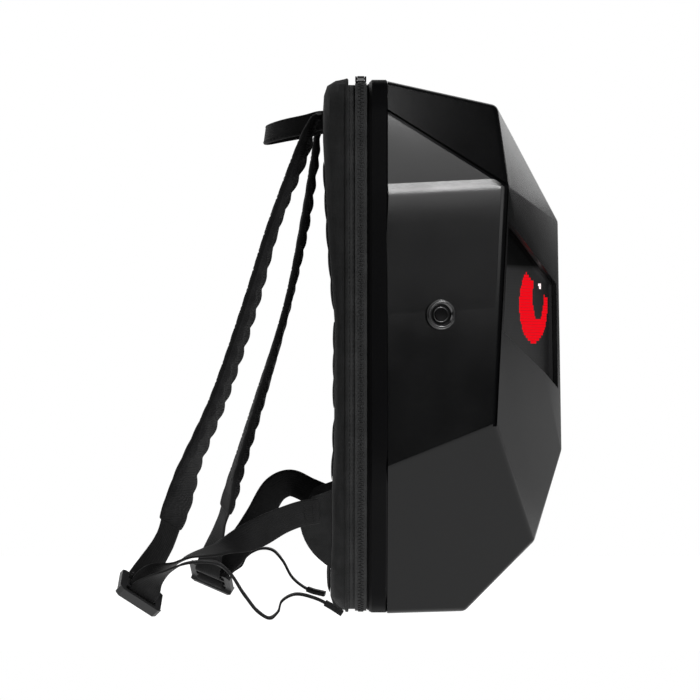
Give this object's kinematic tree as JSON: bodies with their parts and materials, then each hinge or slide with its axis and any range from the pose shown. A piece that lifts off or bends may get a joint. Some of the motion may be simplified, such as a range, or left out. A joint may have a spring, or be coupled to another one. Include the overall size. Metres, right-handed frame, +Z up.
{
  "type": "led backpack",
  "caption": "Hard-shell backpack with a faceted face, lit eye windows, zip gusset, padded back and adjustable shoulder straps.",
  "frame": {"origin": "middle of the shell's flat base, on the floor it stands on", "axes": "+X out of the front of the shell, -Y to the wearer's left, +Z up"},
  "size_m": [0.3841, 0.4091, 0.4654],
  "materials": {
    "shell_plastic": "satin moulded black plastic with fine grain",
    "rim_rubber": "smooth black edge band",
    "body_cloth": "woven black polyester",
    "pad_mesh": "padded spacer mesh",
    "webbing": "ribbed black webbing",
    "buckle_plastic": "moulded black acetal",
    "screen": "smoked display with red lit pixels",
    "zip_metal": "black painted zinc"
  },
  "bodies": {
    "bag": {"shell": "shell_plastic", "rim_band": "rim_rubber", "zipper_gusset": "body_cloth", "zipper_tape": "webbing", "back_panel": "body_cloth", "back_pad_base": "pad_mesh", "grab_handle": "webbing", "left_stud_ring": "buckle_plastic", "left_stud_cap": "buckle_plastic", "back_pad_upper_left": "pad_mesh", "back_pad_middle_left": "pad_mesh", "back_pad_lumbar_left": "pad_mesh", "left_eye_screen": "screen", "left_shoulder_strap": "pad_mesh", "left_strap_tab": "webbing", "left_buckle": "buckle_plastic", "left_lower_webbing": "webbing", "left_wing": "body_cloth", "left_zip_slider": "zip_metal", "back_pad_upper_right": "pad_mesh", "back_pad_middle_right": "pad_mesh", "back_pad_lumbar_right": "pad_mesh", "right_eye_screen": "screen", "right_shoulder_strap": "pad_mesh", "right_strap_tab": "webbing", "right_buckle": "buckle_plastic", "right_lower_webbing": "webbing", "right_wing": "body_cloth", "right_zip_slider": "zip_metal"},
    "left_pull": {"left_zip_pull": "zip_metal"},
    "right_pull": {"right_zip_pull": "zip_metal"}
  },
  "joints": [
    {"name": "left_pull_swing", "type": "hinge", "parent": "bag", "child": "left_pull", "pos_m": [-0.057, -0.0965, 0.4634], "axis": [-1, 0, 0], "range_deg": [0, 100]},
    {"name": "right_pull_swing", "type": "hinge", "parent": "bag", "child": "right_pull", "pos_m": [-0.057, -0.0835, 0.4634], "axis": [1, 0, 0], "range_deg": [0, 100]}
  ]
}
